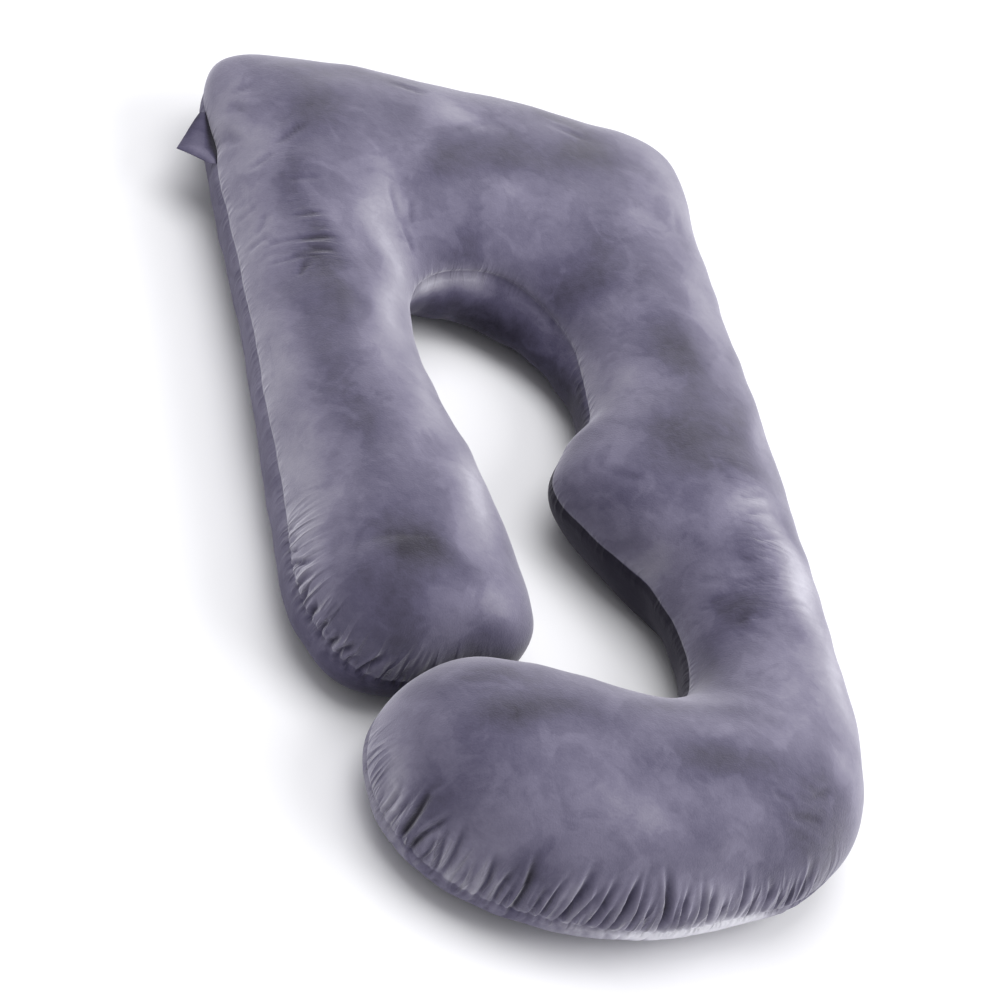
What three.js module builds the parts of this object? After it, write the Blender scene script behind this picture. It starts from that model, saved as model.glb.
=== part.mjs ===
// A pregnancy pillow: one long stuffed tube of crushed velvet, bent round a hollow for the belly.
// Millimetres, +Z up. It lies on its flat underside, with its head end towards +Y. The short arm
// runs down the -X side, the long arm down the +X side, and the long arm's end hooks back under it.

import * as THREE from "three";

const SEAM_DRAW = 2.5; // how far the stitched seam pulls the cover in
const UNDERSIDE_SINK = 1.12; // the lower panel's fall past the surface, which presses it flat there
const TOP_FULLNESS = 2.1; // exponent of the upper panel's rounded section, 2 is an ellipse
const LOWER_FULLNESS = 2.3;
const TOP_RINGS = 8; // rings of points from the crest to the seam
const LOWER_RINGS = 7; // and from the seam to the middle of the underside
const ROOT_GAP = 0.3; // between the pillow's seam and what is sewn into it

// The tube's sections, from the short arm's end round the head end to the hook's end, mm. Crest,
// outer seam and inner seam are points in plan. Crown is the crest's height, outerZ and innerZ the
// seam's, outerBelly and innerBelly how far the lower panel swells past the seam (a minus draws it
// in), and ribs the number of sections up to the next row.
const SECTION_COLUMNS = [
  "crestX", "crestY", "outerX", "outerY", "innerX", "innerY",
  "crown", "outerZ", "innerZ", "outerBelly", "innerBelly", "ribs",
];
const SECTION_ROWS = [
  [-198, -200, -337, -200, -61, -198, 166, 80, 80, 9, 8, 5], // short arm's end
  [-200, -115, -332, -120, -74, -118, 170, 80, 80, 13, 6, 4],
  [-208, -20, -331, -20, -93, -30, 168, 82, 82, 10, 0, 4],
  [-220, 90, -333, 90, -118, 60, 162, 85, 85, 2, 0, 4],
  [-232, 200, -335, 200, -132, 150, 156, 85, 88, 0, 0, 4], // short arm's neck
  [-230, 310, -337, 320, -131, 215, 160, 85, 95, 0, 6, 4],
  [-218, 405, -340, 450, -118, 265, 168, 85, 103, 0, 16, 7],
  [-180, 465, -337, 614, -87, 293, 174, 85, 108, 0, 26, 6], // head end's first corner
  [-100, 488, -190, 655, -48, 308, 176, 85, 110, 0, 40, 4],
  [5, 492, 0, 653, -6, 312, 176, 85, 110, 0, 46, 4],
  [100, 480, 180, 650, 32, 299, 174, 85, 106, 0, 52, 5],
  [178, 445, 320, 611, 68, 270, 171, 85, 98, 0, 44, 5], // head end's second corner
  [206, 360, 321, 440, 94, 222, 168, 85, 90, 0, 26, 4],
  [212, 250, 323, 300, 99, 166, 164, 85, 85, 0, 7, 4],
  [206, 150, 331, 160, 88, 102, 166, 85, 85, 0, 0, 4], // waist above the bump
  [188, 40, 335, 50, 45, 46, 172, 85, 85, 0, 0, 4],
  [186, -40, 333, -30, 21, -14, 174, 85, 85, 0, -6, 4], // bump
  [208, -120, 333, -110, 65, -86, 168, 85, 85, 0, -10, 4],
  [230, -190, 330, -190, 118, -145, 158, 85, 85, 0, -11, 4],
  [238, -265, 329, -265, 139, -215, 154, 85, 85, 0, -7, 4], // hollow at the belly
  [228, -345, 324, -370, 135, -280, 162, 78, 85, 0, -2, 5],
  [192, -415, 294, -481, 112, -320, 172, 66, 85, 0, 0, 15], // corner of the hook
  [125, -455, 211, -562, 65, -338, 178, 54, 85, 0, 0, 17],
  [42, -470, 84, -606, 10, -336, 182, 48, 85, 0, 0, 16],
  [-45, -472, -40, -621, -45, -324, 184, 46, 85, 0, 0, 12],
  [-120, -462, -134, -603, -105, -313, 180, 45, 85, 0, 0, 0], // hook's end
];

// The seam's points round the two ends, from the outer side to the inner side, the ribs from each to
// the next, and the upper panel's fullness there, which eases to the sides' own.
const ARM_END = {
  points: [
    [-330, -242, 76], [-311, -279, 70], [-282, -305, 62], [-243, -317, 57],
    [-198, -315, 56], [-148, -306, 60], [-96, -295, 67], [-65, -256, 75],
  ],
  ribs: 4,
  fullness: 2.7,
};
const HOOK_END = {
  points: [
    [-197, -571, 45], [-245, -529, 46], [-273, -477, 49], [-277, -424, 56],
    [-257, -376, 66], [-213, -335, 76], [-160, -314, 83],
  ],
  ribs: 5,
  fullness: 2.4,
};

// Stretches where the upper panel is gathered into the seam: the plan point in the middle, the
// stretch's length along the seam, the folds' spacing and depth, and their reach up the panel.
const GATHERS = [
  { x: -60, y: -620, length: 820, spacing: 29, depth: 5, reach: 95 }, // front of the hook
  { x: -282, y: -305, length: 330, spacing: 27, depth: 3.5, reach: 60 }, // short arm's end
];

// The folded triangle of cover cloth that stands out of the outer seam below the head's corner.
const TAB = {
  from: 448, // plan Y of its two ends
  to: 540,
  peak: 474, // plan Y of its point
  reach: 44, // of its point past the seam
  endReach: 5,
  rootThickness: 7,
  tipThickness: 3.2,
  droop: 9, // of its point below its root
};

const COVER_COLOUR = 0x77718a; // grey violet
const TAB_COLOUR = 0x5f5a72;

const sections = SECTION_ROWS.map((row) =>
  Object.fromEntries(SECTION_COLUMNS.map((name, column) => [name, row[column]])),
);

const smooth = (t) => t * t * (3 - 2 * t);
const clamp01 = (t) => Math.min(1, Math.max(0, t));

// Points on a curve through the given ones, counts[k] of them from its k-th point to the next.
function sample(points, counts, closed) {
  const curve = new THREE.CatmullRomCurve3(points, closed, "centripetal");
  const spans = closed ? points.length : points.length - 1;
  const found = [];
  for (let span = 0; span < spans; span += 1) {
    for (let step = 0; step < counts[span]; step += 1) {
      found.push(curve.getPoint((span + step / counts[span]) / spans));
    }
  }
  return found;
}

// One rib for each point of the seam, in order round the whole outline: out along the outer side,
// round the hook's end, back along the inner side and round the short arm's end. A rib has its seam
// point, the crest point that it starts at, the swell of its lower panel and the fullness of its upper.
function makeRibs() {
  const first = sections[0];
  const last = sections[sections.length - 1];
  const counts = sections.slice(0, -1).map((section) => section.ribs);
  const back = counts.slice().reverse();

  const crestPoints = sections.map((s) => new THREE.Vector3(s.crestX, s.crestY, s.crown));
  const crest = sample(crestPoints, counts, false);
  crest.push(crestPoints[crestPoints.length - 1]);

  const outer = sections.map((s) => new THREE.Vector3(s.outerX, s.outerY, s.outerZ));
  const inner = sections.map((s) => new THREE.Vector3(s.innerX, s.innerY, s.innerZ)).reverse();
  const hook = HOOK_END.points.map((point) => new THREE.Vector3(...point));
  const arm = ARM_END.points.map((point) => new THREE.Vector3(...point)).reverse();
  const hookCounts = Array(hook.length + 1).fill(HOOK_END.ribs);
  const armCounts = Array(arm.length + 1).fill(ARM_END.ribs);
  const seam = sample(
    [...outer, ...hook, ...inner, ...arm],
    [...counts, ...hookCounts, ...back, ...armCounts],
    true,
  );

  const eased = (belly) => [
    ...sections.slice(0, -1).flatMap((section, row) => {
      const [from, to] = [section[belly], sections[row + 1][belly]];
      return Array.from({ length: section.ribs }, (_, k) => from + (to - from) * smooth(k / section.ribs));
    }),
    last[belly],
  ];
  const outerSwells = eased("outerBelly");
  const innerSwells = eased("innerBelly");
  const endFullness = (end, share) =>
    TOP_FULLNESS + (end.fullness - TOP_FULLNESS) * smooth(clamp01(1.4 * Math.sin(Math.PI * share)));

  const side = crest.length - 1;
  const hookRibs = HOOK_END.ribs * hookCounts.length;
  const armRibs = ARM_END.ribs * armCounts.length;
  return seam.map((point, k) => {
    const rib = { seam: point, crest: crest[0], swell: 0, fullness: TOP_FULLNESS };
    const roundHook = (k - side) / hookRibs;
    const inward = side - (k - side - hookRibs);
    const roundArm = -inward / armRibs;
    if (roundHook < 0) {
      rib.crest = crest[k];
      rib.swell = outerSwells[k];
    } else if (roundHook < 1) {
      rib.crest = crest[side];
      rib.swell = last.outerBelly + (last.innerBelly - last.outerBelly) * smooth(roundHook);
      rib.fullness = endFullness(HOOK_END, roundHook);
    } else if (inward > 0) {
      rib.crest = crest[inward];
      rib.swell = innerSwells[inward];
    } else {
      rib.swell = first.innerBelly + (first.outerBelly - first.innerBelly) * smooth(roundArm);
      rib.fullness = endFullness(ARM_END, roundArm);
    }
    return rib;
  });
}

// How deep the gathers dent the cover at each rib's seam point, and how far up they run.
function gatherFolds(ribs) {
  const along = [0];
  for (let k = 1; k < ribs.length; k += 1) {
    along.push(along[k - 1] + ribs[k].seam.distanceTo(ribs[k - 1].seam));
  }
  const folds = ribs.map(() => ({ depth: 0, reach: 1 }));
  for (const gather of GATHERS) {
    const offsets = ribs.map(({ seam }) => Math.hypot(seam.x - gather.x, seam.y - gather.y));
    const middle = along[offsets.indexOf(Math.min(...offsets))];
    ribs.forEach((rib, k) => {
      const distance = along[k] - middle;
      const fade = smooth(clamp01((1 - Math.abs(distance) / (gather.length / 2)) * 3));
      if (fade === 0) return;
      const turns = distance / gather.spacing;
      const wave = Math.sin(2 * Math.PI * turns + 1.4 * Math.sin(1.9 * turns));
      folds[k].depth = gather.depth * fade * wave * (0.8 + 0.3 * Math.sin(2.7 * turns));
      folds[k].reach = gather.reach * (0.85 + 0.25 * Math.sin(1.3 * turns + 1));
    });
  }
  return folds;
}

// One rib's points, from just past the crest, over the seam, to just short of the underside's middle.
function ribPoints({ seam, crest, swell, fullness }, fold) {
  const out = new THREE.Vector3(seam.x - crest.x, seam.y - crest.y, 0);
  const reach = out.length();
  out.divideScalar(reach);
  const rise = crest.z - seam.z;
  const up = new THREE.Vector3(0, 0, 1);
  const quarterArc = (Math.PI / 2) * Math.hypot(reach, rise) * Math.SQRT1_2;
  const place = (distance, height) =>
    new THREE.Vector3(crest.x, crest.y, 0).addScaledVector(out, distance).setZ(height);

  const points = [];
  for (let ring = 1; ring <= TOP_RINGS; ring += 1) {
    const angle = (ring / TOP_RINGS) * (Math.PI / 2);
    const across = Math.sin(angle) ** (2 / fullness);
    const above = Math.max(0, Math.cos(angle)) ** (2 / fullness);
    const point = place(reach * across, seam.z + rise * above);
    const toSeam = (1 - ring / TOP_RINGS) * quarterArc;
    const dent = fold.depth * smooth(clamp01(1 - toSeam / fold.reach));
    point.addScaledVector(out, -dent * Math.sin(angle)).addScaledVector(up, -dent * Math.cos(angle));
    if (ring === TOP_RINGS) point.addScaledVector(out, -SEAM_DRAW);
    points.push(point);
  }
  for (let ring = 1; ring < LOWER_RINGS; ring += 1) {
    const angle = (ring / LOWER_RINGS) * (Math.PI / 2);
    const across = Math.cos(angle) ** (2 / LOWER_FULLNESS);
    const below = Math.sin(angle) ** (2 / LOWER_FULLNESS);
    const height = Math.max(0, seam.z * (1 - UNDERSIDE_SINK * below));
    points.push(place(reach * across + swell * Math.sin(2 * angle), height));
  }
  return points;
}

// A mesh from triangles of points, named, with its own cloth material.
function clothMesh(name, colour, triangles) {
  const geometry = new THREE.BufferGeometry().setFromPoints(triangles.flat());
  geometry.computeVertexNormals();
  const material = new THREE.MeshStandardMaterial({ color: colour, roughness: 0.9, metalness: 0 });
  const mesh = new THREE.Mesh(geometry, material);
  mesh.name = name;
  return mesh;
}

// The stuffed cover: strips between neighbouring ribs, closed along the crest and the underside.
function makePillow(ribs) {
  const folds = gatherFolds(ribs);
  const lines = ribs.map((rib, k) => {
    const under = rib.crest.clone().setZ(0);
    return [rib.crest, ...ribPoints(rib, folds[k]), under];
  });
  const triangles = [];
  lines.forEach((line, k) => {
    const next = lines[(k + 1) % lines.length];
    const end = line.length - 1;
    for (let ring = 0; ring < end; ring += 1) {
      const [a, b, c, d] = [line[ring], next[ring], next[ring + 1], line[ring + 1]];
      if (a.distanceTo(b) > 0) triangles.push([a, b, c]);
      if (c.distanceTo(d) > 0) triangles.push([a, c, d]);
    }
  });
  return clothMesh("pillow", COVER_COLOUR, triangles);
}

// The tab: a wedge on the seam's own points, thick at its root and thin along its outer edge.
function makeTab(ribs) {
  const root = ribs.filter(({ seam }) => seam.x < 0 && seam.y > TAB.from && seam.y < TAB.to);
  const outline = root.map(({ seam, crest }) => {
    const out = new THREE.Vector3(seam.x - crest.x, seam.y - crest.y, 0).normalize();
    const span = seam.y < TAB.peak ? TAB.peak - TAB.from : TAB.to - TAB.peak;
    const share = 1 - Math.abs(seam.y - TAB.peak) / span;
    const inner = seam.clone().addScaledVector(out, ROOT_GAP - SEAM_DRAW);
    const reach = TAB.endReach + (TAB.reach - TAB.endReach) * share;
    const outer = seam.clone().addScaledVector(new THREE.Vector3(-1, 0, 0), reach);
    outer.z -= TAB.droop * (reach / TAB.reach);
    return { inner, outer };
  });
  const lines = outline.map(({ inner, outer }) => [
    inner.clone().setZ(inner.z + TAB.rootThickness / 2),
    outer.clone().setZ(outer.z + TAB.tipThickness / 2),
    outer.clone().setZ(outer.z - TAB.tipThickness / 2),
    inner.clone().setZ(inner.z - TAB.rootThickness / 2),
  ]);
  const triangles = [];
  lines.slice(0, -1).forEach((line, k) => {
    const next = lines[k + 1];
    line.forEach((a, corner) => {
      const d = line[(corner + 1) % line.length];
      const [b, c] = [next[corner], next[(corner + 1) % line.length]];
      triangles.push([a, b, c], [a, c, d]);
    });
  });
  const [[a, b, c, d], [e, f, g, h]] = [lines[0], lines[lines.length - 1]];
  triangles.push([a, b, c], [a, c, d], [e, g, f], [e, h, g]);
  return clothMesh("corner_tab", TAB_COLOUR, triangles);
}

const ribs = makeRibs();
const group = new THREE.Group();
group.add(makePillow(ribs), makeTab(ribs));

// The origin is the middle of the footprint.
const middle = new THREE.Box3().setFromObject(group).getCenter(new THREE.Vector3());
group.position.set(-middle.x, -middle.y, 0);

export default group;
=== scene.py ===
"""A pregnancy pillow of grey violet crushed velvet, lying flat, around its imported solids.

The pillow is one surface of two parameters: along its seam, once round the whole outline, and up over
the upper panel or down under the lower one. Its gathers, wrinkles and seam are raised in that surface.
Sizes are in millimetres until a piece's points go into its mesh.
"""

import math

import bpy
import numpy as np
from mathutils import Matrix, Vector


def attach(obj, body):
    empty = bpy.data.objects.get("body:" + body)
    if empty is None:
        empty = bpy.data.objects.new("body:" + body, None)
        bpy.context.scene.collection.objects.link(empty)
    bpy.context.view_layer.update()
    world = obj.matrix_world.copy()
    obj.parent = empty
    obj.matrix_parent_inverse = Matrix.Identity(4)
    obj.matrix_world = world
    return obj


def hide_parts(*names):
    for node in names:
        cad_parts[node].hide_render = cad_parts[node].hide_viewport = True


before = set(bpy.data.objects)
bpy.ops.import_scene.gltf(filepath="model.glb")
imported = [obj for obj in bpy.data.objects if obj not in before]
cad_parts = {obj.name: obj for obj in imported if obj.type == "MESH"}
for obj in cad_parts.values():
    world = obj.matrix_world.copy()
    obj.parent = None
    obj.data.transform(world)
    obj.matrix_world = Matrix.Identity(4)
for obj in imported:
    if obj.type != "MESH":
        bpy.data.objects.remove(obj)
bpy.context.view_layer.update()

METRES = 0.001
# The middle of the footprint, in the outline's own plan, is the frame's origin.
FOOTPRINT_MIDDLE = np.array([-26.0, 16.8, 0.0])

# The tube's sections from the straight arm's end round the head end to the hook's end: the crest, the
# outer and the inner seam in plan, the crest's and the seam's heights, how far the lower panel swells
# past the seam, and the ribs up to the next row on the outer side and on the inner.
SECTION_COLUMNS = (
    "crest_x", "crest_y", "outer_x", "outer_y", "inner_x", "inner_y", "crown", "outer_z", "inner_z",
    "outer_belly", "inner_belly", "outer_ribs", "inner_ribs",
)
SECTION_ROWS = (
    (-198, -200, -336, -200, -61, -198, 166, 80, 80, 7, 8, 28, 14),  # straight arm's end
    (-200, -115, -332, -120, -74, -118, 170, 80, 80, 12, 6, 12, 12),
    (-208, -20, -331, -20, -93, -30, 168, 82, 82, 10, 0, 12, 12),
    (-220, 90, -333, 90, -118, 60, 162, 85, 85, 2, 0, 12, 12),
    (-232, 200, -335, 200, -132, 150, 156, 85, 88, 0, 0, 36, 12),  # straight arm's neck
    (-230, 310, -337, 320, -131, 215, 160, 85, 95, 0, 6, 32, 16),
    (-218, 405, -340, 450, -118, 265, 168, 85, 103, 0, 16, 24, 12),
    (-180, 465, -325, 612, -87, 293, 174, 85, 108, 0, 26, 14, 14),  # head end's first corner
    (-100, 488, -190, 655, -48, 308, 176, 85, 110, 0, 40, 12, 12),
    (5, 492, 0, 653, -6, 312, 176, 85, 110, 0, 46, 12, 12),
    (100, 480, 180, 650, 32, 299, 174, 85, 106, 0, 52, 14, 14),
    (178, 445, 314, 617, 68, 270, 171, 85, 98, 0, 44, 14, 14),  # head end's second corner
    (206, 360, 321, 440, 94, 222, 168, 85, 90, 0, 26, 12, 12),
    (212, 250, 323, 300, 99, 166, 164, 85, 85, 0, 7, 12, 12),
    (206, 150, 331, 160, 88, 102, 166, 85, 85, 0, 0, 12, 12),  # waist above the bump
    (188, 40, 335, 50, 44, 46, 172, 85, 83, 0, -7, 16, 16),
    (186, -40, 333, -30, 19, -14, 174, 85, 80, 0, -13, 28, 14),  # bump
    (208, -120, 333, -110, 65, -86, 168, 85, 77, 0, -14, 28, 14),
    (230, -190, 330, -190, 118, -145, 158, 85, 77, 0, -17, 24, 12),
    (238, -265, 329, -265, 139, -215, 154, 85, 77, 0, -6, 14, 14),  # hollow at the belly
    (228, -345, 324, -370, 135, -280, 162, 78, 80, 0, 0, 24, 12),
    (192, -415, 294, -484, 112, -320, 172, 68, 85, 0, 0, 30, 15),  # corner of the hook
    (125, -455, 211, -562, 65, -341, 178, 62, 85, 0, 0, 72, 18),
    (42, -470, 84, -606, 10, -339, 182, 58, 85, 0, 0, 68, 17),
    (-45, -472, -40, -621, -45, -327, 184, 56, 85, 0, 0, 52, 13),
    (-120, -462, -134, -603, -105, -315, 180, 50, 85, 0, 0, 38, 0),  # hook's end
)
# The seam round the two ends, from the outer side to the inner side, and the ribs that each point's
# stretch has on the way round the outline.
END_COLUMNS = ("x", "y", "z", "ribs")
HOOK_END = (
    (-197, -571, 45, 35), (-245, -529, 46, 32), (-273, -477, 49, 20), (-277, -424, 56, 10),
    (-258, -374, 66, 8), (-213, -335, 76, 8), (-160, -314, 83, 8),
)
ARM_END = (
    (-327, -241, 76, 22), (-308, -278, 70, 23), (-282, -305, 62, 24), (-243, -317, 57, 16),
    (-198, -315, 56, 10), (-148, -306, 60, 8), (-93, -297, 67, 8), (-64, -257, 75, 8),
)
ARM_END_FIRST_RIBS = 8

TOP_FULLNESS = 2.1  # exponents of the rounded sections, 2 is an ellipse
ARM_END_FULLNESS = 2.7
HOOK_END_FULLNESS = 2.4
LOWER_FULLNESS = 2.3
# The head end's first corner: its plan X and Y, how far round it the cover is fuller, by how much, and
# how far the upper panel swells past the seam.
HEAD_CORNER = (-334, 575)
CORNER_REACH = 80.0
CORNER_FULLER = 0.15
CORNER_SWELL = 15.0
END_EASE = 1.4  # how soon round an end its own fullness is reached
UNDERSIDE_SINK = 1.12  # the lower panel's fall past the surface, which presses it flat there
TOP_RINGS = 46
LOWER_RINGS = 28
RING_CROWDING = 1.25  # packs the upper panel's rings towards the seam

# Lumps of the filling: their width, how many waves make them, the waves' seed and their height.
LUMP_COLUMNS = ("width", "waves", "seed", "height")
LUMPS = ((170, 8, 1, 1.5), (62, 9, 2, 0.7))
WAVE_LENGTHS = (0.7, 1.4)  # the waves' least and greatest length, as shares of the width
SETTLED_HEIGHT = 25.0  # relief fades to nothing from here down to the surface
CREST_RINGS = 5  # and over these rings towards the crest

SEAM_DRAW = 2.0  # how far the stitches pull the seam in
SEAM_HALF_WIDTH = 3.5

# A fold and a wrinkle across their line, as bells in shares of their half width.
BELL_COLUMNS = ("place", "width", "height")
FOLD_BELLS = ((0.0, 1.0, -1.0), (1.2, 0.55, 0.8), (-1.7, 1.0, 0.3))
WRINKLE_BELLS = ((0.0, 1.0, -1.0), (2.0, 1.0, 0.4), (-2.0, 1.0, 0.3))

FOLD_WAVER = 1.4
FOLD_WAVER_TURN = 6.0  # the waver's turn from a fold's foot to its tip, in radians
FOLD_LEAN_POWER = 1.3
FOLD_FOOT_WIDTH = 0.65  # of the half width, at the foot
FOLD_FOOT_DEPTH = 0.45  # of the depth, at the foot
FOLD_FOOT_FADE = 7.0  # how fast the depth grows from the foot
FOLD_TIP_FADE = 1.7  # how fast it fades towards the tip
FOLD_BELOW_FADE = 3.0  # how much faster it fades below the seam
FOLD_BELOW_DEPTH = 0.35  # of the depth, below the seam

# Folds gathered into the seam, each a valley with a sharp ridge on one side: where its foot is along
# the seam, how far its tip leans along, how far up the panel it runs, its half width and its depth.
FOLD_COLUMNS = ("along", "lean", "run", "half_width", "depth")
HOOK_MIDDLE = (-60, -620)  # the seam's point that the hook's folds are measured from
HOOK_FOLDS = (
    (268, 0, 34, 4.0, 2.0), (253, 5, 58, 4.5, 4.0), (240, 2, 62, 4.5, 3.5), (222, 10, 88, 6.0, 5.5),
    (207, -17, 84, 5.5, 4.5), (191, -2, 46, 4.5, 3.0), (174, 16, 70, 5.0, 4.0), (166, 6, 78, 6.0, 5.5),
    (147, -2, 44, 4.5, 2.5), (136, 5, 60, 4.0, 2.5), (122, 6, 72, 6.0, 6.0), (106, 0, 62, 4.5, 4.0),
    (95, 2, 40, 4.0, 2.5), (84, 1, 86, 6.0, 5.0), (66, -6, 50, 4.5, 3.5), (55, -14, 78, 5.0, 4.0),
    (34, -19, 88, 7.0, 7.0), (19, -14, 64, 4.5, 4.0), (3, -17, 84, 5.5, 5.0), (-10, -8, 42, 4.0, 3.0),
    (-22, -19, 88, 6.5, 7.5), (-41, -6, 92, 5.0, 4.5), (-59, 2, 54, 4.5, 3.5), (-80, 16, 96, 6.5, 7.5),
    (-92, 4, 52, 4.0, 3.0), (-102, 5, 76, 4.5, 4.0), (-113, 5, 48, 4.0, 2.5), (-124, 10, 82, 4.5, 4.0),
    (-140, 10, 70, 5.5, 5.5), (-155, 2, 52, 4.5, 3.0), (-166, 4, 60, 4.0, 2.5), (-179, 1, 84, 4.5, 4.0),
    (-198, 3, 54, 4.5, 2.5), (-219, 8, 66, 5.5, 4.0), (-236, 3, 44, 4.5, 2.0), (-252, 2, 52, 5.0, 2.5),
    (-270, -4, 84, 8.0, 2.5), (-292, 1, 44, 6.0, 1.8), (-318, 0, 36, 6.0, 1.2),
)
ARM_MIDDLE = (-282, -305)
ARM_FOLDS = (
    (176, -4, 20, 4.0, 1.6), (160, -8, 26, 4.0, 2.0), (145, -10, 24, 4.0, 2.5),
    (127, -20, 44, 5.0, 3.5), (104, -11, 38, 5.5, 4.0), (85, 2, 26, 4.5, 3.5), (63, 4, 26, 5.5, 5.5),
    (44, 0, 28, 4.5, 4.0), (26, -3, 28, 5.0, 4.5), (13, -11, 36, 5.5, 5.0), (0, -4, 24, 4.0, 3.5),
    (-18, -15, 44, 5.5, 5.5), (-41, -7, 32, 5.0, 4.5), (-60, -5, 32, 5.0, 3.0), (-82, -2, 24, 5.0, 2.2),
    (-110, 0, 20, 5.0, 1.6),
)

WRINKLE_BEND = 0.002  # how a wrinkle's line bends, by the square of the length
WRINKLE_WAVER = 0.8
WRINKLE_WAVER_LENGTH = 9.0
WRINKLE_START = 12.0  # how far up from the seam wrinkles and creases are at their full depth
# Fine wrinkles pressed into the upper panel: plan middle, length, direction in degrees, half width
# and depth.
WRINKLE_COLUMNS = ("x", "y", "length", "angle", "half_width", "depth")
WRINKLES = (
    (-266, 306, 52, 8, 3.0, 1.4), (-300, 266, 34, -4, 3.0, 1.6), (-262, 268, 60, 6, 3.5, 2.4),
    (-257, 249, 34, -2, 3.5, 2.0), (-300, 236, 44, 2, 3.0, 1.4), (-318, 303, 34, 66, 3.5, 1.5),
    (-284, 221, 38, 56, 4.0, 2.0), (-274, 440, 60, 37, 4.5, 2.4), (-308, 402, 34, 28, 3.5, 1.8),
    (-266, 364, 44, 5, 4.0, 1.2), (-324, 276, 22, 20, 3.5, 1.6), (-327, 330, 20, 25, 3.0, 1.2),
    (-151, 354, 58, -86, 3.5, 2.4), (-128, 346, 40, -100, 3.5, 2.4), (-134, 306, 40, -70, 3.5, 2.2),
    (-334, 462, 34, -75, 5.0, 3.0), (-326, 500, 26, -60, 6.0, 2.6), (-318, 528, 30, 10, 5.0, 1.6),
    (233, -62, 50, 20, 4.0, 2.0), (223, -90, 84, 21, 4.0, 2.4), (236, -123, 60, 18, 3.5, 2.2),
    (216, -106, 56, 16, 3.0, 1.2), (215, -153, 50, 11, 3.5, 1.6), (210, -183, 70, 8, 3.5, 2.4),
    (228, -138, 46, 14, 3.0, 1.3), (162, -175, 30, -20, 3.5, 1.4), (157, -205, 34, 2, 3.5, 1.3),
    (190, -233, 32, 18, 3.5, 1.3), (248, -212, 56, 6, 3.5, 2.0), (179, -521, 58, 3, 4.0, 2.0),
    (150, -508, 34, -14, 4.0, 1.3), (206, -490, 36, 22, 4.0, 1.4), (76, -40, 40, -30, 5.0, 1.4),
    (-34, 504, 96, 33, 4.5, 2.4), (-96, 572, 44, -24, 5.0, 2.4), (36, 520, 50, 60, 4.0, 1.4),
    (130, 552, 60, -16, 5.0, 1.4), (258, 420, 52, 74, 5.0, 1.4),
)

DRIFT = 10.0  # how far soft waves draw the patches' edges about
DRIFT_WIDTH = 120
DRIFT_WAVES = 7
DRIFT_SEEDS = (11, 12)
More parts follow.
